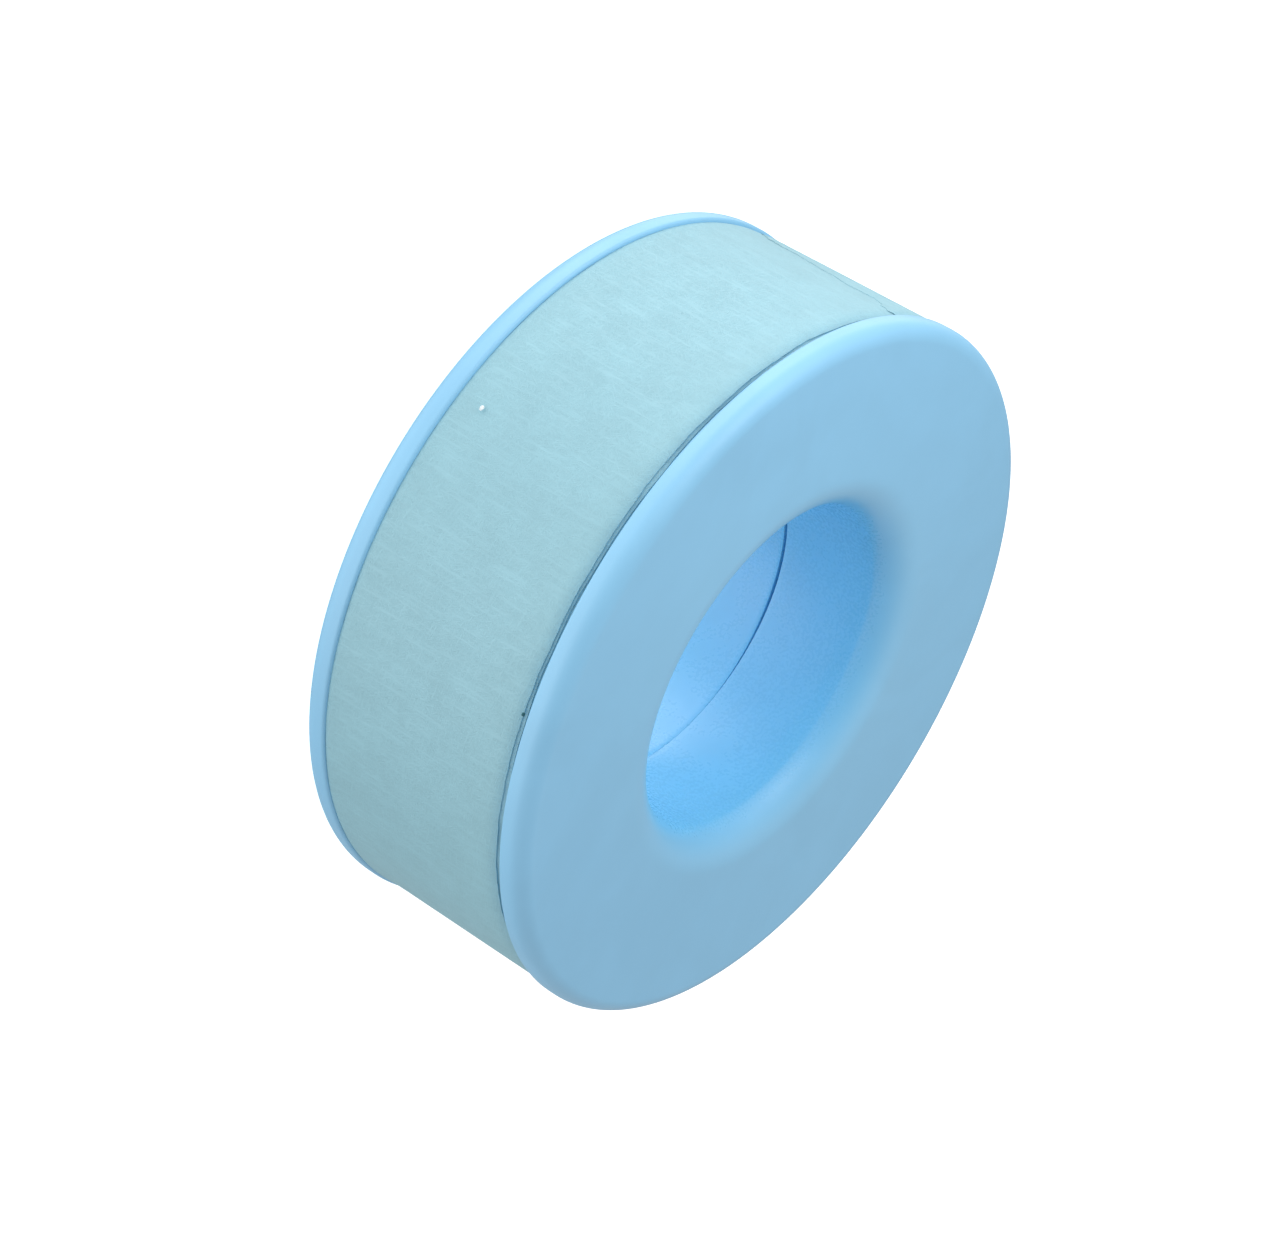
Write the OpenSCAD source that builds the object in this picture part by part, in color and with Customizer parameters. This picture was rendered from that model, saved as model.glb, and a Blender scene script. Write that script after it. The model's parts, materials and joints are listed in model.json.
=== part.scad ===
// Flanged tape spool in two halves, carrying a roll of soft non-woven tape on a card core.
// The spool lies on its rear flange: Z = 0 is that flange's outer face, and +Z runs along the
// bore towards the front half. The roll turns on the hub, and the front half pulls off along +Z.

/* [Flanges] */
// Outside diameter of both flanges
flange_d = 44; // [44:0.2:50]
// Width over both flanges
spool_w = 16.5; // [16.5:0.1:18]
// Thickness of each flange
flange_t = 1.65; // [1.5:0.05:1.7]
// Radius of the round on a flange's outer edge
edge_r = 1; // [0.4:0.1:1.1]
// Radius of the small round on a flange's inner edge
lip_r = 0.2; // [0.1:0.05:0.3]

/* [Hub] */
// Diameter of the bore
bore_d = 20.6; // [19:0.1:20.6]
// How far the flared mouth reaches outwards from the bore wall
mouth_w = 2.4; // [1:0.1:2.8]
// Depth of the flared mouth below the flange's face
mouth_depth = 1.8; // [1.2:0.1:2]
// Radial clearance between the hub and the roll's core
hub_clear = 0.05; // [0.02:0.01:0.1]
// Width of the fine seam that shows inside the bore
seam_gap = 0.2; // [0.1:0.05:0.4]
// Depth of the lap joint between the halves
lap_depth = 2.8; // [2.4:0.1:4]
// Wall of the spigot that the front half's sleeve slides over
spigot_t = 1.1; // [0.9:0.05:1.2]
// Radial clearance in the lap joint
lap_clear = 0.03; // [0.02:0.01:0.1]
// Number of keys that stop the halves turning against each other
key_count = 3; // [2:1:6]
// Width of each key
key_w = 2; // [1.5:0.1:3]
// Height of each key
key_h = 1.8; // [1:0.1:2]

/* [Tape roll] */
// Inside diameter of the card core
core_bore_d = 25.4; // [25.4:0.1:26]
// Wall of the card core
core_t = 1.5; // [1:0.1:2.5]
// Width of the tape
tape_w = 12.7; // [12:0.1:12.7]
// Gap between the tape's edge and the rear flange
rear_gap = 0.05; // [0.05:0.05:0.3]
// Thickness of the tape
tape_t = 0.15; // [0.12:0.01:0.25]
// Diameter of the full roll over its loose end
roll_d = 43.9; // [38:0.1:43.9]
// Direction of the loose end, counted round the axis from +X
tail_end_a = 196; // [0:1:359]
// How much of the roll the loose end covers, in degrees
tail_a = 35; // [20:1:60]

/* [Hidden] */
$fn = 96;
SPOOL_BLUE = [0.56, 0.77, 0.90];
TAPE_BLUE = [0.66, 0.83, 0.89];
CARD = [0.84, 0.80, 0.72];

flange_r = flange_d / 2;
bore_r = bore_d / 2;
mid_z = spool_w / 2;
core_r = core_bore_d / 2;
hub_r = core_r - hub_clear;
spigot_r = bore_r + spigot_t;
shoulder_z = mid_z - lap_depth;
lead_in = 0.2;
key_clear = 0.05;
// The mouth's round meets the face smoothly and the bore wall at a slight crease.
mouth_r = (mouth_w * mouth_w + mouth_depth * mouth_depth) / (2 * mouth_depth);
cut = 1;

core_outer_r = core_r + core_t;
tape_z = flange_t + rear_gap;
wrap_clear = 0.02;
pitch = tape_t + wrap_clear;
// The outer wrap is the last full turn, and its end lies a little past its own start.
end_overlap_a = 8;
wrap_end_a = 360 + end_overlap_a;
wrap_inner_r = roll_d / 2 - tape_t - pitch * wrap_end_a / 360;
wrap_start_dir = tail_end_a - wrap_end_a;
tail_root_a = wrap_end_a - tail_a;
end_face_a = 0.12;
spiral_step_a = 3;

// ---- flanged halves ----

// Half section of a flange, X from the axis and Y from its outer face inwards
module flange_section() {
    translate([bore_r, 0]) square([flange_r - edge_r - bore_r, flange_t]);
    translate([bore_r, edge_r]) square([flange_r - lip_r - bore_r, flange_t - edge_r]);
    translate([bore_r, edge_r]) square([flange_r - bore_r, flange_t - edge_r - lip_r]);
    translate([flange_r - lip_r, flange_t - lip_r]) circle(r = lip_r);
    intersection() {
        translate([flange_r - edge_r, edge_r]) circle(r = edge_r);
        translate([bore_r, 0]) square([flange_r, edge_r]);
    }
}

// What the flared mouth takes away from the corner between the face and the bore
module mouth_cutter() {
    difference() {
        translate([bore_r - cut, -cut]) square([mouth_w + cut, mouth_depth + cut]);
        translate([bore_r + mouth_w, mouth_r]) circle(r = mouth_r);
    }
}

// Straight hub wall from inside the flange up to a given height
module hub_section(inner_r, outer_r, top) {
    translate([inner_r, 0]) square([outer_r - inner_r, top]);
}

// One sector block across the hub wall for each key
module key_blocks(width, z0, z1) {
    for (i = [0 : key_count - 1])
        rotate(i * 360 / key_count)
            translate([spigot_r - spigot_t / 2, -width / 2, z0])
                cube([hub_r, width, z1 - z0]);
}

module rear_half() {
    spigot_top = mid_z - seam_gap / 2;
    color(SPOOL_BLUE) {
        rotate_extrude()
            difference() {
                union() {
                    flange_section();
                    hub_section(bore_r, hub_r, shoulder_z);
                    hub_section(bore_r, spigot_r - lead_in, spigot_top);
                    polygon([
                        [spigot_r - lead_in, shoulder_z], [spigot_r, shoulder_z],
                        [spigot_r, spigot_top - lead_in], [spigot_r - lead_in, spigot_top]
                    ]);
                }
                mouth_cutter();
            }
        intersection() {
            key_blocks(key_w, shoulder_z - key_clear, shoulder_z + key_h);
            rotate_extrude() hub_section(spigot_r - lead_in, hub_r, mid_z);
        }
    }
}

module front_half() {
    sleeve_r = spigot_r + lap_clear;
    seam_top = mid_z + seam_gap / 2;
    color(SPOOL_BLUE)
        translate([0, 0, spool_w]) mirror([0, 0, 1])
            difference() {
                rotate_extrude()
                    difference() {
                        union() {
                            flange_section();
                            hub_section(bore_r, hub_r, spool_w - seam_top);
                            hub_section(sleeve_r, hub_r, spool_w - shoulder_z);
                        }
                        mouth_cutter();
                    }
                translate([0, 0, spool_w]) mirror([0, 0, 1])
                    key_blocks(key_w + 2 * key_clear, shoulder_z - cut,
                               shoulder_z + key_h + key_clear);
            }
}

// ---- tape roll ----

module tape_core() {
    color(CARD)
        translate([0, 0, tape_z])
            rotate_extrude() translate([core_r, 0]) square([core_t, tape_w]);
}

// Inner radius of the outer wrap, a degrees on from its start
function wrap_r(a) = wrap_inner_r + pitch * a / 360;

// Point on the spiral, r from the axis and a degrees on from the outer wrap's start
function on_spiral(r, a) = r * [cos(wrap_start_dir + a), sin(wrap_start_dir + a)];

// Outline of a stretch of tape along the spiral, from a0 to a1 degrees
function tape_outline(a0, a1) =
    let (n = ceil((a1 - a0) / spiral_step_a), da = (a1 - a0) / n)
    concat(
        [for (i = [0 : n]) on_spiral(wrap_r(a0 + i * da) + tape_t, a0 + i * da)],
        [for (i = [n : -1 : 0]) on_spiral(wrap_r(a0 + i * da), a0 + i * da)]
    );

// The wound turns below the outer wrap, with the step where that wrap carries on from them
module tape_winding() {
    turns = [for (a = [0 : spiral_step_a : 360]) on_spiral(wrap_r(a) - wrap_clear, a)];
    color(TAPE_BLUE)
        translate([0, 0, tape_z])
            linear_extrude(height = tape_w)
                difference() {
                    polygon(turns);
                    circle(r = core_outer_r);
                }
}

module tape_outer_wrap() {
    color(TAPE_BLUE)
        translate([0, 0, tape_z])
            linear_extrude(height = tape_w)
                polygon(tape_outline(end_face_a, tail_root_a - end_face_a));
}

// The loose end, which peels away about its root
module tape_tail() {
    color(TAPE_BLUE)
        translate([0, 0, tape_z])
            linear_extrude(height = tape_w)
                polygon(tape_outline(tail_root_a, wrap_end_a));
}

rear_half();
front_half();
tape_core();
tape_winding();
tape_outer_wrap();
tape_tail();
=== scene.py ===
import json
import math

import bmesh
import bpy
from mathutils import Matrix, Vector, noise


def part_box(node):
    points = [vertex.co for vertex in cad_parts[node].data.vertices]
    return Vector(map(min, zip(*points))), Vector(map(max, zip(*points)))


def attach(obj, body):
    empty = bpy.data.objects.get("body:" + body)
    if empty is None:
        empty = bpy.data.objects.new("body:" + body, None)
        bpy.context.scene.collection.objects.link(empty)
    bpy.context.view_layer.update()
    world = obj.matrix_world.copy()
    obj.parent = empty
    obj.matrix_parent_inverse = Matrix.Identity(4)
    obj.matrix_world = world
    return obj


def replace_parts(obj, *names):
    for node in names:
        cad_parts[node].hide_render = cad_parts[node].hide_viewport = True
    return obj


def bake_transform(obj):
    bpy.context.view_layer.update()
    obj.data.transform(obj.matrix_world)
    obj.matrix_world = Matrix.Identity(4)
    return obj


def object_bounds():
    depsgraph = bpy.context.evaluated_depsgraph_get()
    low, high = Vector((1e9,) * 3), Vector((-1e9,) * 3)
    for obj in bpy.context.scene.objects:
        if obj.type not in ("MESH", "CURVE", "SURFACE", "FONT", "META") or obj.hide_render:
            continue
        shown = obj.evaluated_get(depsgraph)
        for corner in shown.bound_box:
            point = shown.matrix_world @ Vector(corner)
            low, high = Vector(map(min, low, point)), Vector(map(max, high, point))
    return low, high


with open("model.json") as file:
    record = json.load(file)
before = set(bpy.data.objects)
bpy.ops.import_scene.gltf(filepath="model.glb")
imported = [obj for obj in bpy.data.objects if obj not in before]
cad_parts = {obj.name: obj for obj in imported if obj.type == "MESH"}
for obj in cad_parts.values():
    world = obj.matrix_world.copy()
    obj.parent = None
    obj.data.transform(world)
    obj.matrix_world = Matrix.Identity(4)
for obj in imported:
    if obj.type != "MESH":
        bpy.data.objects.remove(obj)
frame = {"record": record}
cad_low, cad_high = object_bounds()

MM = 0.001
DEG = math.radians(1)

# ---- sizes, in metres, from the frame ----

FLANGE_R = cad_high.x
SPOOL_W = cad_high.z
MID_Z = SPOOL_W / 2
mounts = {mount["name"]: mount for mount in frame["record"]["mounts"]}
BORE_R = mounts["spindle_bore"]["dims"]["r_mm"] * MM
TAPE_Z0, TAPE_Z1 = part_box("tape_core")[0].z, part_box("tape_core")[1].z
CORE_OUTER_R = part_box("tape_core")[1].x
SPIGOT_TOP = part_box("rear_half")[1].z
SHOULDER_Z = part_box("front_half")[0].z

# The rest of the moulding's half section
FLANGE_T = 1.65 * MM
EDGE_R = 1.0 * MM
LIP_R = 0.2 * MM
MOUTH_W = 2.4 * MM
MOUTH_DEPTH = 1.8 * MM
MOUTH_R = (MOUTH_W ** 2 + MOUTH_DEPTH ** 2) / (2 * MOUTH_DEPTH)
CORE_T = 1.5 * MM
CORE_R = CORE_OUTER_R - CORE_T
HUB_CLEAR = 0.05 * MM
HUB_R = CORE_R - HUB_CLEAR
SPIGOT_T = 1.1 * MM
SPIGOT_R = BORE_R + SPIGOT_T
LAP_CLEAR = 0.03 * MM
SLEEVE_R = SPIGOT_R + LAP_CLEAR
SEAM_TOP = SPOOL_W - SPIGOT_TOP
LEAD_IN = 0.2 * MM
KEY_COUNT = 3
KEY_W = 2.0 * MM
KEY_TOP = SHOULDER_Z + 1.8 * MM
KEY_CLEAR = 0.05 * MM
# Differences below this one count as none
NEARLY = 0.01 * MM

# The tape and its spiral, whose angle runs on in degrees from the start of the last full turn
TAPE_T = 0.15 * MM
PITCH = 0.17 * MM
WRAP_R = 21.6262 * MM
TAIL_END = 368
WRAP_START = 196 - TAIL_END
TAIL_ROOT = 333
# Where the last full turn hands over to the piece that has the loose end
TAIL_JOIN = TAIL_ROOT - 8
# How far the last turn's front edge lies back from the edges of the turns below
DRAWN_IN = 0.12 * MM

# Colours and the tape's dullness
PLASTIC_TINT = (0.28, 0.62, 0.90, 1)
# Painted shade: a deeper, more saturated blue inside the bore, standing in for the shade and blue bounce
# light there
BORE_SHADE_TINT = (0.19, 0.58, 0.90, 1)
TAPE_TINT = (0.29, 0.56, 0.655, 1)
TAPE_ROUGHNESS = 0.55


# ---- mesh helpers ----

def piece(name, bm, material, body=None):
    """A new object from a bmesh, shaded smooth but for its sharp corners."""
    mesh = bpy.data.meshes.new(name)
    bm.to_mesh(mesh)
    bm.free()
    mesh.shade_smooth()
    mesh.set_sharp_from_angle(angle=38 * DEG)
    mesh.materials.append(material)
    obj = bpy.data.objects.new(name, mesh)
    bpy.context.scene.collection.objects.link(obj)
    if body:
        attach(obj, body)
    return obj


def arc(r, z, radius, start, end, steps):
    """Points of an arc in a half section, about (r, z), with its angles in degrees."""
    turn = (end - start) / steps
    return [(r + radius * math.cos((start + i * turn) * DEG),
             z + radius * math.sin((start + i * turn) * DEG)) for i in range(steps + 1)]


def turned(section, steps):
    """A closed half section of (radius, height) points, spun right round the axis."""
    bm = bmesh.new()
    verts = [bm.verts.new((r, 0, z)) for r, z in section]
    edges = [bm.edges.new((a, b)) for a, b in zip(verts, verts[1:] + verts[:1])]
    bmesh.ops.spin(bm, geom=verts + edges, cent=(0, 0, 0), axis=(0, 0, 1),
                   angle=2 * math.pi, steps=steps, use_merge=True)
    bmesh.ops.recalc_face_normals(bm, faces=bm.faces)
    return bm


# ---- moulded halves ----

TURN_STEPS = 240
# The seam in the bore is open about this direction and closes to a hair elsewhere. It starts to close at
# one angle away from it, in degrees, and is shut a further angle on.
SEAM_OPEN = 158 * DEG
SEAM_HALF_OPEN = 42
SEAM_FADE = 45
SEAM_CLOSES = 0.095 * MM
SEAM_ROUND = 0.02 * MM
# The stretch of bore wall next to the seam that is drawn out with its lip
LIP_BAND = 0.3 * MM


def flange_section():
    """The flange's part of the half section, from the crease in the bore out to the hub's root."""
    crease = math.degrees(math.asin((MOUTH_R - MOUTH_DEPTH) / MOUTH_R))
    face_in, face_out = BORE_R + MOUTH_W, FLANGE_R - EDGE_R
    rings = 8
    face = [(face_in + (face_out - face_in) * i / rings, 0) for i in range(1, rings)]
    support, root_band, rim_band = 0.12 * MM, 0.3 * MM, 1 * MM
    return (
        arc(face_in, MOUTH_R, MOUTH_R, 180 + crease, 270, 14)
        + [(face_in + support, 0)] + face + [(face_out - support, 0)]
        + arc(face_out, EDGE_R, EDGE_R, 270, 360, 14)
        + arc(FLANGE_R - LIP_R, FLANGE_T - LIP_R, LIP_R, 0, 90, 4)
        + [(FLANGE_R - rim_band, FLANGE_T), (HUB_R + root_band, FLANGE_T), (HUB_R, FLANGE_T)]
    )


def wall_heights(z0, z1, count):
    """Heights that split a straight stretch of wall into even rings, both ends included."""
    return [z0 + (z1 - z0) * i / count for i in range(count + 1)]


def close_seam(bm, lip_z):
    """Draws the seam's lip in the bore out to mid width, but for a stretch about SEAM_OPEN."""
    for v in bm.verts:
        near_lip = 1 - abs(v.co.z - lip_z) / LIP_BAND
        if near_lip > 0 and v.co.xy.length < SPIGOT_R:
            away = math.acos(math.cos(math.atan2(v.co.y, v.co.x) - SEAM_OPEN)) / DEG
            shut = min(1.0, max(0.0, (away - SEAM_HALF_OPEN) / SEAM_FADE))
            v.co.z += near_lip * shut * SEAM_CLOSES


def bore_wall(lip_z):
    """The bore's part of the half section, from the seam's lip at lip_z back down to the mouth."""
    lip = arc(BORE_R + SEAM_ROUND, lip_z - SEAM_ROUND, SEAM_ROUND, 90, 180, 3)
    return lip + [(BORE_R, z) for z in wall_heights(lip_z - LIP_BAND, MOUTH_DEPTH, 5)[:-1]]


def build_rear_half(material):
    outer = [(HUB_R, z) for z in wall_heights(FLANGE_T, SHOULDER_Z, 3)[1:]]
    spigot = [(SPIGOT_R, SHOULDER_Z), (SPIGOT_R, SPIGOT_TOP - LEAD_IN), (SPIGOT_R - LEAD_IN, SPIGOT_TOP)]
    bm = turned(flange_section() + outer + spigot + bore_wall(SPIGOT_TOP), TURN_STEPS)
    close_seam(bm, SPIGOT_TOP)
    add_keys(bm)
    return piece("rear_shell", bm, material, "spool_rear")


def add_keys(bm):
    """The blocks on the spigot that stop the halves turning, each a small face spun through its width."""
    width = KEY_W / SPIGOT_R
    sunk_in, sunk_down = 0.1 * MM, 0.05 * MM
    root, sunk = SPIGOT_R - sunk_in, SHOULDER_Z - sunk_down
    for i in range(KEY_COUNT):
        corners = [(root, 0, sunk), (HUB_R, 0, sunk), (HUB_R, 0, KEY_TOP), (root, 0, KEY_TOP)]
        verts = [bm.verts.new(c) for c in corners]
        face = bm.faces.new(verts)
        turn = Matrix.Rotation(i * 2 * math.pi / KEY_COUNT - width / 2, 3, "Z")
        bmesh.ops.rotate(bm, verts=verts, matrix=turn)
        made = bmesh.ops.spin(bm, geom=[face], cent=(0, 0, 0), axis=(0, 0, 1), angle=width, steps=6)
        last = [g for g in made["geom_last"] if isinstance(g, bmesh.types.BMFace)]
        both_ends = verts + [v for end in last for v in end.verts]
        near = [f for v in both_ends for f in v.link_faces]
        bmesh.ops.recalc_face_normals(bm, faces=list({*near, *last, face}))


def build_front_half(material):
    """The front half is turned like the rear one, then notched for the keys and stood on its head."""
    notch_top = SPOOL_W - KEY_TOP - KEY_CLEAR
    tip = SPOOL_W - SHOULDER_Z
    lip_z = SPOOL_W - SEAM_TOP
    outer = [(HUB_R, z) for z in wall_heights(FLANGE_T, notch_top, 3)[1:]]
    sleeve = [(HUB_R, tip), (SLEEVE_R, tip), (SLEEVE_R, notch_top), (SLEEVE_R, lip_z)]
    bm = turned(flange_section() + outer + sleeve + bore_wall(lip_z), TURN_STEPS)
    close_seam(bm, lip_z)
    cut_notches(bm, notch_top, tip)
    bmesh.ops.scale(bm, vec=(1, 1, -1), verts=bm.verts)
    bmesh.ops.translate(bm, vec=(0, 0, SPOOL_W), verts=bm.verts)
    bmesh.ops.recalc_face_normals(bm, faces=bm.faces)
    return piece("front_shell", bm, material, "spool_front")


def cut_notches(bm, notch_top, tip):
    """Opens the sleeve's edge at each key and walls the cut between its inner and outer rims."""
    half = (KEY_W / 2 + KEY_CLEAR) / SPIGOT_R
    for i in range(KEY_COUNT):
        middle = Vector((1, 0, 0))
        middle.rotate(Matrix.Rotation(i * 2 * math.pi / KEY_COUNT, 3, "Z"))

        def in_notch(face):
            c = face.calc_center_median()
            flat = Vector((c.x, c.y, 0))
            return c.z > notch_top and flat.length > SLEEVE_R - NEARLY and flat.angle(middle) < half

        doomed = [f for f in bm.faces if in_notch(f)]
        bmesh.ops.delete(bm, geom=doomed, context="FACES")
        rim = [e for e in bm.edges if e.is_boundary]
        walls = [e for e in rim if abs(e.verts[0].co.xy.length - e.verts[1].co.xy.length) < NEARLY]
        bmesh.ops.bridge_loops(bm, edges=walls)


# ---- card core ----

def build_core(material):
    nick, steps = 0.12 * MM, 160
    section = [(CORE_R + nick, TAPE_Z0), (CORE_OUTER_R - nick, TAPE_Z0), (CORE_OUTER_R, TAPE_Z0 + nick),
               (CORE_OUTER_R, TAPE_Z1 - nick), (CORE_OUTER_R - nick, TAPE_Z1), (CORE_R + nick, TAPE_Z1),
               (CORE_R, TAPE_Z1 - nick), (CORE_R, TAPE_Z0 + nick)]
    return piece("card_core", turned(section, steps), material, "tape_roll")


# ---- tape ----

def spiral_r(a):
    """Radius of the tape's inner face, a degrees on from the start of the last full turn."""
    return WRAP_R + PITCH * a / 360


def strip(columns, rows, place):
    """A flat grid bent to shape by place(u, v), with its faces to the outside and a UV map in metres."""
    bm = bmesh.new()
    bmesh.ops.create_grid(bm, x_segments=columns, y_segments=rows, size=0.5)
    uv = bm.loops.layers.uv.new("along_tape")
    for v in bm.verts:
        spot, run, across = place(v.co.x + 0.5, v.co.y + 0.5)
        for loop in v.link_loops:
            loop[uv].uv = (run, across)
        v.co = spot
    bm.normal_update()
    return bm


def thicken(bm, thickness):
    """Gives the sheet its thickness outwards and leaves it closed. A positive value would go inwards."""
    bmesh.ops.solidify(bm, geom=bm.faces[:], thickness=-thickness)
    bmesh.ops.recalc_face_normals(bm, faces=bm.faces)
    return bm


def on_roll(a, r, z):
    """The point at spiral angle a, radius r and height z."""
    t = (WRAP_START + a) * DEG
    return Vector((r * math.cos(t), r * math.sin(t), z))


def edge_wobble(run, v):
    """How far the tape strays sideways at a share v of its width, more at its front edge than its rear."""
    slow = noise.noise(Vector((run * 60, v * 3.3, 1.7)))
    middling = noise.noise(Vector((run * 480, v * 5.1, 9.4)))
    quick = noise.noise(Vector((run * 1900, v * 3.1, 4.2)))
    return (0.35 + 0.65 * v) * (0.07 * slow + 0.07 * middling + 0.035 * quick) * MM


def edge_droop(v):
    """How far the tape sinks towards the axis at a share v of its width: it rides up a little towards the
    rear flange, and both edges are soft."""
    rear_share, front_share, climb_share = 0.02, 0.06, 0.16
    rear = max(0.0, 1 - v / rear_share)
    front = max(0.0, 1 - (1 - v) / front_share)
    climb = max(0.0, 1 - v / climb_share)
    settled = 0.07
    return (0.05 * rear ** 2 + 0.2 * front ** 2 - 0.08 * climb ** 2 + settled) * MM


def packed_rows(shares):
    """A map from evenly spaced rows to the given shares of the tape's width."""
    return lambda v: shares[round(v * (len(shares) - 1))]


def rows_for(middle):
    """Shares of the tape's width, close together at both edges, with a number of even steps between."""
    edge = [0, 0.004, 0.010, 0.020, 0.034, 0.055]
    inner = [0.055 + 0.89 * i / middle for i in range(1, middle)]
    return edge + inner + [1 - e for e in reversed(edge)]


def build_windings(material):
    """All the turns below the last one, as the one spiral strip that they are."""
    first = (CORE_OUTER_R + NEARLY - WRAP_R) / PITCH * 360
    last = -0.03
    steps = int((last - first) / 3)
    shares = [0, 0.012, 0.04, 0.5, 0.96, 0.988, 1]
    share = packed_rows(shares)

    def place(u, row):
        v = share(row)
        a = first + (last - first) * u
        r = spiral_r(a)
        run = (a - first) * DEG * (CORE_OUTER_R + r) / 2
        z = TAPE_Z0 + (TAPE_Z1 - TAPE_Z0) * v + edge_wobble(run, v)
        return on_roll(a, r - edge_droop(v), z), run, z

    bm = thicken(strip(steps, len(shares) - 1, place), TAPE_T)
    obj = piece("tape_windings", bm, material, "tape_roll")
    return obj


def build_outer_turn(material):
    """The last full turn, up to where the loose end starts."""
    first, last = 0, TAIL_JOIN
    shares = rows_for(14)
    share = packed_rows(shares)

    def place(u, row):
        v = share(row)
        a = first + (last - first) * u
        run = a * DEG * WRAP_R
        z = TAPE_Z0 + (TAPE_Z1 - TAPE_Z0 - DRAWN_IN) * v + edge_wobble(run, v)
        return on_roll(a, spiral_r(a) - edge_droop(v), z), run, z

    bm = thicken(strip(560, len(shares) - 1, place), TAPE_T)
    obj = piece("tape_outer_turn", bm, material, "tape_roll")
    return obj


def torn_edge(v):
    """Spiral angle of the ragged end at a share v of the tape's width."""
    lean = TAIL_END - 8 + 10 * v
    tear = 2.0 * noise.noise(Vector((v * 9, 0.4, 2.0))) + 0.9 * noise.noise(Vector((v * 40, 5.0, 1.0)))
    fray = 0.45 * noise.noise(Vector((v * 150, 3.0, 7.0)))
    return lean + tear + fray


def torn_lift(a, v):
    """How far the torn end stands off its turn of the roll, mostly downwards, at spiral angle a and share v
    of the tape's width."""
    reach = 7
    near_end = max(0.0, 1 - (torn_edge(v) - a) / reach)
    return near_end ** 2 * (0.012 * math.exp(-((v - 0.12) / 0.12) ** 2) - 0.017) * MM


def thin_out(bm):
    """Thins the sheet from its outer face towards its torn edge, over the last few degrees."""
    edge_share, fade = 0.12, 5
    for vert in bm.verts:
        a = math.degrees(math.atan2(vert.co.y, vert.co.x)) - WRAP_START
        a = a % 360 + 360 * (a % 360 < TAIL_END - 180)
        v = min(1.0, max(0.0, (vert.co.z - TAPE_Z0) / (TAPE_Z1 - TAPE_Z0)))
        inner = spiral_r(a) + torn_lift(a, v) - edge_droop(v)
        above = vert.co.xy.length - inner
        whole = min(1.0, edge_share + (1 - edge_share) * max(0.0, torn_edge(v) - a) / fade)
        vert.co.xy *= (inner + above * whole) / vert.co.xy.length


def build_loose_end(material):
    """The torn end of the tape, from where the last full turn hands over up to its ragged edge."""
    first = TAIL_JOIN
    shares = rows_for(74)
    share = packed_rows(shares)

    def place(u, row):
        v = share(row)
        last = torn_edge(v)
        a = first + (last - first) * u
        run = a * DEG * WRAP_R
        z = TAPE_Z0 + (TAPE_Z1 - TAPE_Z0 - DRAWN_IN) * v + edge_wobble(run, v)
        return on_roll(a, spiral_r(a) + torn_lift(a, v) - edge_droop(v), z), run, z

    bm = thicken(strip(110, len(shares) - 1, place), TAPE_T)
    thin_out(bm)
    obj = piece("tape_loose_end", bm, material)
    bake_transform(obj)
    return obj


def build_speck(name, material, direction, r, z, size):
    """A speck caught on the roll, a small lumpy flake lying flat against it."""
    bm = bmesh.new()
    bmesh.ops.create_icosphere(bm, subdivisions=3, radius=0.5)
    for v in bm.verts:
        lump = 1 + 0.35 * noise.noise(v.co * 4.1 + Vector((r * 1e3, z * 1e3, 0)))
        v.co = Vector((v.co.x * size.x, v.co.y * size.y, v.co.z * size.z)) * lump
    bmesh.ops.translate(bm, vec=(r, 0, z), verts=bm.verts)
    bmesh.ops.rotate(bm, verts=bm.verts, matrix=Matrix.Rotation(direction * DEG, 3, "Z"))
    return piece(name, bm, material, "tape_roll")


# ---- materials ----

def add(tree, kind, links=(), **settings):
    """A new shader node with its settings, and a link or a plain value for each named input."""
    node = tree.nodes.new(kind)
    for key, value in settings.items():
        setattr(node, key, value)
    for name, source in dict(links).items():
        if isinstance(source, bpy.types.NodeSocket):
            tree.links.new(source, node.inputs[name])
        else:
            node.inputs[name].default_value = source
    return node


def math_node(tree, operation, first, second=0.0, clamp=False):
    return add(tree, "ShaderNodeMath", {0: first, 1: second}, operation=operation, use_clamp=clamp).outputs[0]


def noise_node(tree, vector, scale, detail=2.0, roughness=0.5, distortion=0.0):
    """The noise texture's value, which is about a half on average."""
    links = {"Vector": vector, "Scale": scale, "Detail": detail, "Roughness": roughness,
             "Distortion": distortion}
    return add(tree, "ShaderNodeTexNoise", links).outputs["Fac"]


def spread(tree, value, low, high, to_low=0.0, to_high=1.0):
    """Maps low..high to another span, clamped and eased at both ends."""
    links = {"Value": value, "From Min": low, "From Max": high, "To Min": to_low, "To Max": to_high}
    return add(tree, "ShaderNodeMapRange", links, interpolation_type="SMOOTHSTEP").outputs["Result"]


def mix_colour(tree, share, first, second, blend="MIX"):
    links = {0: share, 6: first, 7: second}
    return add(tree, "ShaderNodeMix", links, data_type="RGBA", blend_type=blend).outputs[2]


def mix_value(tree, share, first, second):
    return add(tree, "ShaderNodeMix", {0: share, 2: first, 3: second}).outputs[0]


def axis_distance(tree, position):
    """Distance of a position from the spool's axis."""
    flat = add(tree, "ShaderNodeVectorMath", {0: position, 1: (1, 1, 0)}, operation="MULTIPLY").outputs[0]
    return add(tree, "ShaderNodeVectorMath", {0: flat}, operation="LENGTH").outputs["Value"]


def tinted(tree, colour, strength):
    """The colour made lighter or darker, a strength of one leaving it alone."""
    grey = add(tree, "ShaderNodeCombineColor", {0: strength, 1: strength, 2: strength}).outputs[0]
    return mix_colour(tree, 1.0, colour, grey, blend="MULTIPLY")


def total_of(tree, first, *others):
    """The sum of several values."""
    for other in others:
        first = math_node(tree, "ADD", first, other)
    return first


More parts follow.
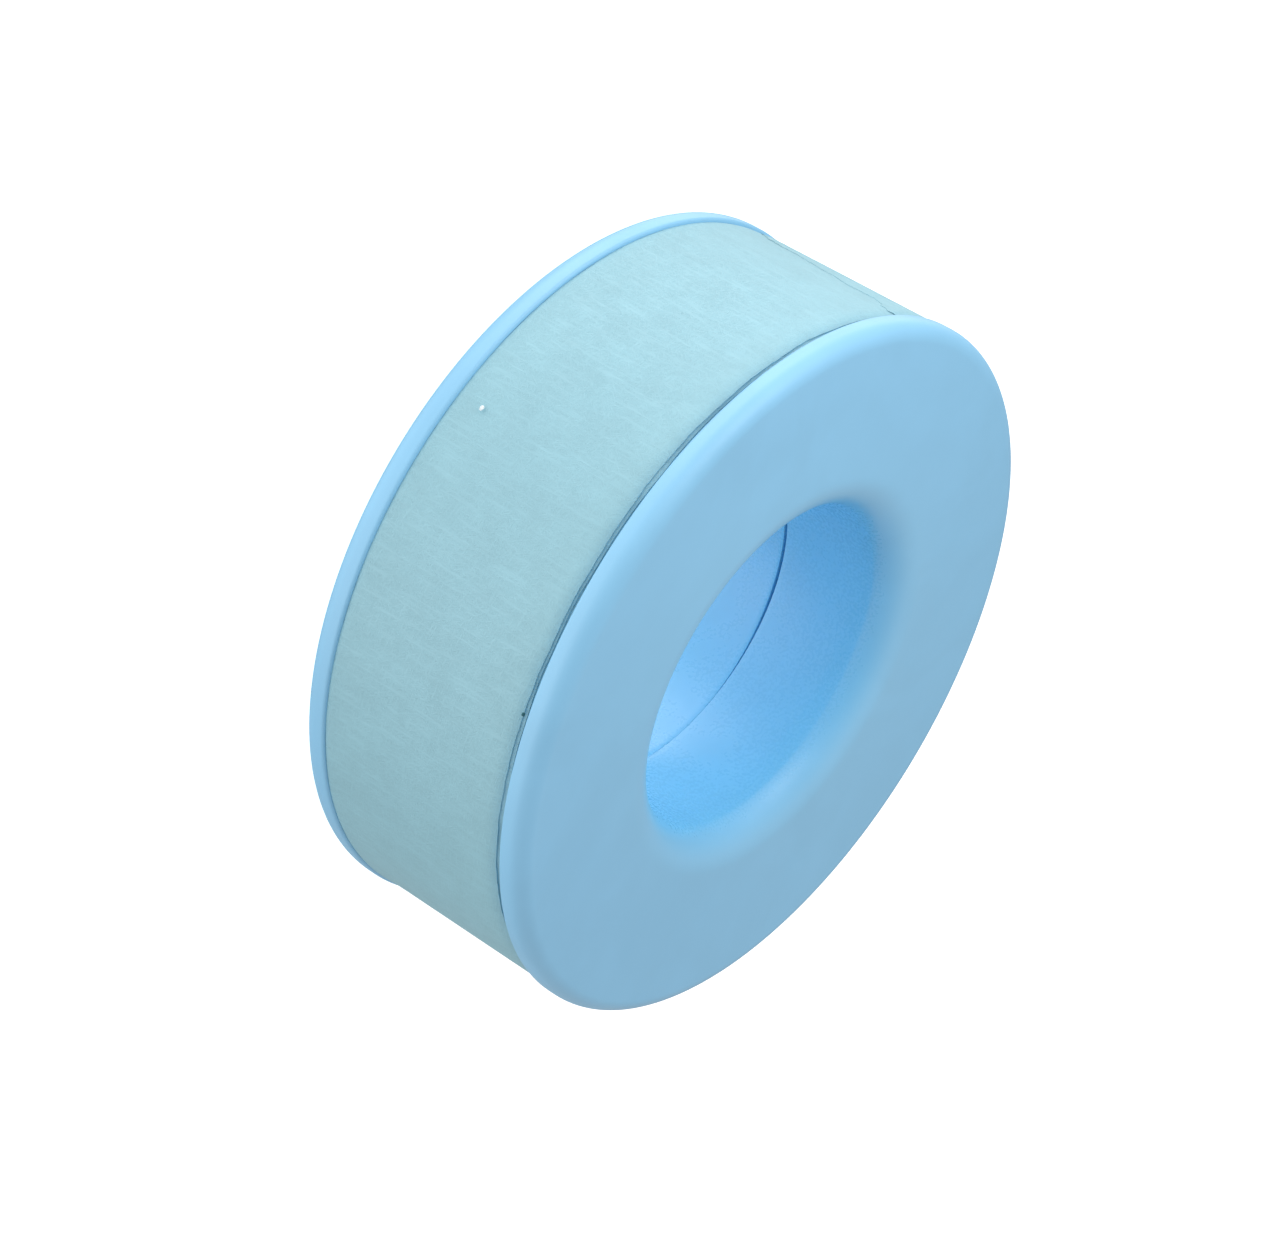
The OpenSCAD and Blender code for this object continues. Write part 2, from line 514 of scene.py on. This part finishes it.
def new_group(name, inputs, outputs):
    """A node group with its named sockets, given as (name, kind, value), and its two end nodes."""
    tree = bpy.data.node_groups.new(name, "ShaderNodeTree")
    for label, kind, value in inputs:
        socket = tree.interface.new_socket(label, in_out="INPUT", socket_type="NodeSocket" + kind)
        if value is not None:
            socket.default_value = value
    for label, kind in outputs:
        tree.interface.new_socket(label, in_out="OUTPUT", socket_type="NodeSocket" + kind)
    start, end = tree.nodes.new("NodeGroupInput"), tree.nodes.new("NodeGroupOutput")
    return tree, start.outputs, end.inputs


def moulded_skin():
    """Satin moulded plastic: faint flow marks, a fine grain, and the dull smudges and scuffs of handling,
    with painted shade: a deeper blue inside the bore.
    """
    tree, given, made = new_group(
        "moulded_skin",
        [("Position", "Vector", None), ("Tint", "Color", (0.3, 0.6, 0.9, 1)), ("Dullness", "Float", 0.36),
         ("Bore Shade Tint", "Color", (0.2, 0.5, 0.9, 1)), ("Bore Dullness", "Float", 0.28),
         ("Bore Radius", "Float", BORE_R), ("Handling", "Float", 1.0)],
        [("Color", "Color"), ("Roughness", "Float"), ("Height", "Float")])
    # Inside the bore the colour turns to a deeper, more saturated blue: painted shade for the shade and blue
    # bounce light there
    across = axis_distance(tree, given["Position"])
    mouth = math_node(tree, "ADD", given["Bore Radius"], MOUTH_W * 0.7)
    wall = math_node(tree, "SUBTRACT", given["Bore Radius"], 0.2 * MM)
    outside = spread(tree, across, wall, mouth)
    tint = mix_colour(tree, outside, given["Bore Shade Tint"], given["Tint"])
    dullness = mix_value(tree, outside, given["Bore Dullness"], given["Dullness"])
    flow = noise_node(tree, given["Position"], 90, detail=3, distortion=1.4)
    cloud = noise_node(tree, given["Position"], 420, detail=3)
    strength = total_of(tree, spread(tree, flow, 0.3, 0.7, 0.972, 1.014),
                        spread(tree, cloud, 0.3, 0.7, -0.006, 0.006))
    touch = noise_node(tree, given["Position"], 160, detail=5, roughness=0.65, distortion=0.8)
    smudge = spread(tree, touch, 0.48, 0.72)
    one_way = {"Vector": given["Position"], "Rotation": (0.3, 0.2, 0.9), "Scale": (3200, 260, 3200)}
    other_way = {"Vector": given["Position"], "Rotation": (0.1, 0.4, -0.5), "Scale": (300, 3600, 3000)}
    drawn = add(tree, "ShaderNodeMapping", one_way).outputs[0]
    crossed = add(tree, "ShaderNodeMapping", other_way).outputs[0]
    scuffs = math_node(tree, "MAXIMUM", spread(tree, noise_node(tree, drawn, 1, detail=1), 0.70, 0.80),
                       spread(tree, noise_node(tree, crossed, 1, detail=1), 0.71, 0.80))
    worn = math_node(tree, "MULTIPLY", math_node(tree, "MULTIPLY", scuffs, smudge), given["Handling"])
    dull = math_node(tree, "MULTIPLY", smudge, given["Handling"])
    grain = noise_node(tree, given["Position"], 5200, detail=2)
    rough = math_node(tree, "ADD", dullness, math_node(tree, "MULTIPLY", dull, 0.05))
    rough = math_node(tree, "ADD", rough, math_node(tree, "MULTIPLY", worn, 0.10))
    rough = math_node(tree, "ADD", rough, spread(tree, grain, 0.3, 0.7, -0.02, 0.02), clamp=True)
    height = math_node(tree, "SUBTRACT", grain, math_node(tree, "MULTIPLY", worn, 1.2))
    tree.links.new(tinted(tree, tint, strength), made["Color"])
    tree.links.new(rough, made["Roughness"])
    tree.links.new(height, made["Height"])
    return tree


def fibre_layer(tree, along, angle, width, length, low, high):
    """Bundles of fibres that all lie one way in the sheet, as a mask."""
    laid = add(tree, "ShaderNodeMapping", {"Vector": along, "Rotation": (0, 0, angle * DEG)}).outputs[0]
    scales = {0: laid, 1: (1 / length, 1 / width, 1)}
    drawn = add(tree, "ShaderNodeVectorMath", scales, operation="MULTIPLY").outputs[0]
    return spread(tree, noise_node(tree, drawn, 1, detail=3, roughness=0.6, distortion=0.35), low, high)


def fibre_web():
    """Non-woven cloth: fibre bundles lying several ways, denser and thinner patches, and a few slubs."""
    tree, given, made = new_group(
        "fibre_web",
        [("Along", "Vector", None), ("Tint", "Color", (0.4, 0.6, 0.7, 1)),
         ("Lint", "Color", (0.7, 0.8, 0.85, 1)), ("Contrast", "Float", 1.0)],
        [("Color", "Color"), ("Roughness", "Float"), ("Height", "Float")])
    lengthwise = fibre_layer(tree, given["Along"], 8, 0.11 * MM, 0.9 * MM, 0.42, 0.66)
    leftward = fibre_layer(tree, given["Along"], 58, 0.10 * MM, 0.7 * MM, 0.44, 0.68)
    rightward = fibre_layer(tree, given["Along"], -52, 0.10 * MM, 0.7 * MM, 0.44, 0.68)
    crosswise = fibre_layer(tree, given["Along"], 90, 0.22 * MM, 2.4 * MM, 0.42, 0.70)
    web = math_node(tree, "MAXIMUM", math_node(tree, "MAXIMUM", lengthwise, leftward),
                    math_node(tree, "MAXIMUM", rightward, crosswise))
    patches = noise_node(tree, given["Along"], 420, detail=4, roughness=0.6)
    drift = noise_node(tree, given["Along"], 75, detail=2)
    ribs = fibre_layer(tree, given["Along"], 90, 0.55 * MM, 6 * MM, 0.3, 0.7)
    slubs = fibre_layer(tree, given["Along"], 84, 0.16 * MM, 1.3 * MM, 0.76, 0.84)
    light = total_of(tree, spread(tree, patches, 0.3, 0.7, -0.045, 0.045),
                     spread(tree, web, 0, 1, -0.05, 0.03),
                     spread(tree, drift, 0.3, 0.7, -0.02, 0.02),
                     spread(tree, ribs, 0, 1, -0.018, 0.018))
    strength = math_node(tree, "ADD", math_node(tree, "MULTIPLY", light, given["Contrast"]), 1)
    ground = tinted(tree, given["Tint"], strength)
    colour = mix_colour(tree, math_node(tree, "MULTIPLY", slubs, 0.45), ground, given["Lint"])
    height = total_of(tree, math_node(tree, "MULTIPLY", web, 0.6),
                      math_node(tree, "MULTIPLY", patches, 0.7),
                      math_node(tree, "MULTIPLY", slubs, 0.8))
    tree.links.new(colour, made["Color"])
    tree.links.new(spread(tree, web, 0, 1, 0.04, -0.04), made["Roughness"])
    tree.links.new(height, made["Height"])
    return tree


def wound_paper():
    """Card rolled up from paper: fibres in its faces and the rings of its plies on its ends."""
    tree, given, made = new_group(
        "wound_paper",
        [("Position", "Vector", None), ("Tint", "Color", (0.6, 0.55, 0.45, 1)), ("Ply", "Float", 0.3 * MM)],
        [("Color", "Color"), ("Roughness", "Float"), ("Height", "Float")])
    across = axis_distance(tree, given["Position"])
    waver = noise_node(tree, given["Position"], 300, detail=2)
    turns = math_node(tree, "DIVIDE", across, given["Ply"])
    turns = math_node(tree, "ADD", turns, math_node(tree, "MULTIPLY", waver, 0.7))
    ply = spread(tree, math_node(tree, "PINGPONG", turns, 0.5), 0.05, 0.3)
    fibres = noise_node(tree, given["Position"], 2600, detail=4, roughness=0.7)
    blotch = noise_node(tree, given["Position"], 240, detail=3)
    strength = total_of(tree, spread(tree, fibres, 0.3, 0.7, 0.90, 1.05),
                        spread(tree, blotch, 0.3, 0.7, -0.05, 0.04))
    strength = math_node(tree, "MULTIPLY", strength, spread(tree, ply, 0, 1, 0.84, 1))
    height = math_node(tree, "ADD", math_node(tree, "MULTIPLY", fibres, 0.6), ply)
    tree.links.new(tinted(tree, given["Tint"], strength), made["Color"])
    tree.links.new(spread(tree, fibres, 0.3, 0.7, 0.82, 0.94), made["Roughness"])
    tree.links.new(height, made["Height"])
    return tree


def new_material(name):
    """A new material, with its node tree and its shader."""
    material = bpy.data.materials.new(name)
    material.use_nodes = True
    return material, material.node_tree, material.node_tree.nodes["Principled BSDF"]


def surface(tree, shader, group, links, relief):
    """Feeds a shader's colour and bump from a node group, whose height of one stands for relief."""
    skin = add(tree, "ShaderNodeGroup", links, node_tree=group)
    bump = add(tree, "ShaderNodeBump", {"Height": skin.outputs["Height"], "Distance": relief})
    tree.links.new(skin.outputs["Color"], shader.inputs["Base Color"])
    tree.links.new(bump.outputs["Normal"], shader.inputs["Normal"])
    return skin


def moulded_blue_plastic():
    material, tree, shader = new_material("moulded_blue_plastic")
    spot = add(tree, "ShaderNodeTexCoord").outputs["Object"]
    # The bore's deeper blue is painted shade
    links = {"Position": spot, "Tint": PLASTIC_TINT, "Dullness": 0.36, "Bore Shade Tint": BORE_SHADE_TINT,
             "Bore Dullness": 0.27, "Bore Radius": BORE_R, "Handling": 1.0}
    skin = surface(tree, shader, moulded_skin(), links, 0.0012 * MM)
    shader.inputs["Specular IOR Level"].default_value = 0.7
    tree.links.new(skin.outputs["Roughness"], shader.inputs["Roughness"])
    return material


def soft_tape():
    material, tree, shader = new_material("soft_tape")
    along = add(tree, "ShaderNodeUVMap", uv_map="along_tape").outputs[0]
    links = {"Along": along, "Tint": TAPE_TINT, "Lint": (0.66, 0.84, 0.90, 1), "Contrast": 0.6}
    skin = surface(tree, shader, fibre_web(), links, 0.02 * MM)
    shader.inputs["Specular IOR Level"].default_value = 0.95
    rough = math_node(tree, "ADD", skin.outputs["Roughness"], TAPE_ROUGHNESS)
    tree.links.new(rough, shader.inputs["Roughness"])
    return material


def wound_card():
    material, tree, shader = new_material("wound_card")
    spot = add(tree, "ShaderNodeTexCoord").outputs["Object"]
    links = {"Position": spot, "Tint": (0.62, 0.55, 0.42, 1), "Ply": 0.3 * MM}
    skin = surface(tree, shader, wound_paper(), links, 0.03 * MM)
    tree.links.new(skin.outputs["Roughness"], shader.inputs["Roughness"])
    return material


def lint(name, colour):
    """A dry fleck of fluff or dust, a little uneven in colour."""
    material, tree, shader = new_material(name)
    spot = add(tree, "ShaderNodeTexCoord").outputs["Object"]
    fluff = noise_node(tree, spot, 9000, detail=3)
    tone = add(tree, "ShaderNodeRGB")
    tone.outputs[0].default_value = colour
    uneven = spread(tree, fluff, 0.3, 0.7, 0.85, 1.1)
    tree.links.new(tinted(tree, tone.outputs[0], uneven), shader.inputs["Base Color"])
    shader.inputs["Roughness"].default_value = 0.95
    return material


# ---- camera, light and floor ----

ELEVATION = 28.75 * DEG
ROLL = 121.01 * DEG
LENS_MM = 109.9
SENSOR_MM = 36
DISTANCE = 10.177 * FLANGE_R
OFF_RIGHT = 0.1023 * FLANGE_R
OFF_UP = 0.0416 * FLANGE_R


def camera_axes():
    """The camera's right, up and back directions in the row frame."""
    turn = Matrix.Rotation(math.pi / 2 - ELEVATION, 3, "X") @ Matrix.Rotation(ROLL, 3, "Z")
    return turn.col[0].copy(), turn.col[1].copy(), turn.col[2].copy()


def set_camera():
    right, up, back = camera_axes()
    data = bpy.data.cameras.new("camera")
    data.lens, data.sensor_width = LENS_MM, SENSOR_MM
    camera = bpy.data.objects.new("camera", data)
    bpy.context.scene.collection.objects.link(camera)
    turn = Matrix((right, up, back)).transposed().to_4x4()
    spot = Vector((0, 0, MID_Z)) - right * OFF_RIGHT - up * OFF_UP + back * DISTANCE
    camera.matrix_world = Matrix.Translation(spot) @ turn
    data.clip_start, data.clip_end = 0.01, 20
    bpy.context.scene.camera = camera


# Soft lamps all round: the direction that each shines from, how tight it is and how bright
AMBIENT = 0.15
LAMPS = [
    ((0.0, -0.53, -0.85), 5, 1.0),
    ((0.85, 0.0, 0.53), 5, 0.36),
    ((0.53, 0.85, 0.0), 5, 0.45),
    ((0.62, -0.7, -0.35), 5, 1.3),
    ((-0.85, 0.0, 0.53), 5, 0.76),
    ((-0.53, -0.85, 0.0), 5, 0.36),
    ((-0.3, -0.7, 0.6), 5, 0.14),
    ((0.0, 0.53, 0.85), 5, 0.28),
    ((-0.72, -0.38, 0.58), 14, 1.4),
    ((-0.69, -0.54, -0.48), 20, 1.8),
    ((-0.88, -0.1, -0.46), 20, 2.2),
    ((-0.72, 0.5, -0.48), 14, 1.4),
]


def soft_lamp():
    """How bright a soft lamp looks in a direction, falling away smoothly around its own."""
    tree, given, made = new_group(
        "soft_lamp",
        [("Direction", "Vector", None), ("Aim", "Vector", None), ("Tightness", "Float", 5.0),
         ("Strength", "Float", 1.0)],
        [("Light", "Float")])
    both = {0: given["Direction"], 1: given["Aim"]}
    facing = add(tree, "ShaderNodeVectorMath", both, operation="DOT_PRODUCT")
    away = math_node(tree, "SUBTRACT", facing.outputs["Value"], 1)
    fall = math_node(tree, "EXPONENT", math_node(tree, "MULTIPLY", away, given["Tightness"]))
    tree.links.new(math_node(tree, "MULTIPLY", fall, given["Strength"]), made["Light"])
    return tree


def set_light():
    """A studio's soft light from all round, with a plain white background for the camera."""
    world = bpy.data.worlds.new("soft_studio")
    bpy.context.scene.world = world
    world.use_nodes = True
    tree = world.node_tree
    lamp = soft_lamp()
    spot = add(tree, "ShaderNodeTexCoord").outputs["Generated"]
    total = add(tree, "ShaderNodeValue").outputs[0]
    total.default_value = AMBIENT
    for aim, tightness, strength in LAMPS:
        links = {"Direction": spot, "Aim": Vector(aim).normalized(), "Tightness": tightness,
                 "Strength": strength}
        lit = add(tree, "ShaderNodeGroup", links, node_tree=lamp)
        total = math_node(tree, "ADD", total, lit.outputs["Light"])
    seen = add(tree, "ShaderNodeBackground", {"Color": (1, 1, 1, 1)})
    around = tree.nodes["Background"]
    around.inputs["Color"].default_value = (1, 1, 1, 1)
    tree.links.new(total, around.inputs["Strength"])
    by_camera = add(tree, "ShaderNodeLightPath").outputs["Is Camera Ray"]
    mix = add(tree, "ShaderNodeMixShader", {0: by_camera, 1: around.outputs[0], 2: seen.outputs[0]})
    tree.links.new(mix.outputs[0], tree.nodes["World Output"].inputs["Surface"])


# The lamp near the front face: where it is from that face's centre and its width, in flange radii, and its
# power in watts
FACE_LAMP_AT = (-1.9, -1.1, 2)
FACE_LAMP_WIDTH = 1.6
FACE_LAMP_POWER = 0.010


def add_face_lamp():
    """A small soft lamp near the front face, above it for the camera, so that the face falls off
    downwards."""
    data = bpy.data.lights.new("face_lamp", "AREA")
    data.shape, data.size, data.energy = "DISK", FACE_LAMP_WIDTH * FLANGE_R, FACE_LAMP_POWER
    lamp = bpy.data.objects.new("face_lamp", data)
    bpy.context.scene.collection.objects.link(lamp)
    face_centre = Vector((0, 0, SPOOL_W))
    spot = face_centre + Vector(FACE_LAMP_AT) * FLANGE_R
    aim = (spot - face_centre).to_track_quat("Z", "Y").to_matrix().to_4x4()
    lamp.matrix_world = Matrix.Translation(spot) @ aim
    lamp.visible_camera = False
    lamp.visible_glossy = False


def add_floor():
    """A pale floor that only the camera sees, so that it throws no light back up."""
    below = 0.02 * MM
    bm = bmesh.new()
    bmesh.ops.create_grid(bm, x_segments=1, y_segments=1, size=3)
    bmesh.ops.translate(bm, vec=(0, 0, cad_low.z - below), verts=bm.verts)
    material, tree, shader = new_material("pale_floor")
    shader.inputs["Base Color"].default_value = (0.9, 0.9, 0.9, 1)
    shader.inputs["Roughness"].default_value = 1
    shader.inputs["Specular IOR Level"].default_value = 0
    shader.inputs["Emission Color"].default_value = (1, 1, 1, 1)
    shader.inputs["Emission Strength"].default_value = 0.85
    floor = piece("floor", bm, material)
    floor.visible_diffuse = False
    floor.visible_glossy = False
    floor.visible_transmission = False
    floor.visible_shadow = False


# ---- the whole scene ----

set_camera()
plastic = moulded_blue_plastic()
tape = soft_tape()
card = wound_card()

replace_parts(build_rear_half(plastic), "rear_half")
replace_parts(build_front_half(plastic), "front_half")
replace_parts(build_core(card), "tape_core")
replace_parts(build_windings(tape), "tape_winding")
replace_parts(build_outer_turn(tape), "tape_outer_wrap")
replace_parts(build_loose_end(tape), "tape_tail")

fluff = lint("pale_fluff", (0.85, 0.92, 0.95, 1))
dust = lint("dark_dust", (0.03, 0.13, 0.16, 1))
fluff_size, dust_size = Vector((0.1, 0.32, 0.24)) * MM, Vector((0.14, 0.24, 0.2)) * MM
build_speck("fluff_on_tape", fluff, 259.3, WRAP_R + TAPE_T + 0.14 * MM, 3.46 * MM, fluff_size)
build_speck("dust_in_gap", dust, 293.6, FLANGE_R - 0.18 * MM, 14.5 * MM, dust_size)

set_light()
add_face_lamp()
add_floor()
scene = bpy.context.scene
scene.view_settings.view_transform = "Standard"
scene.view_settings.look = "None"
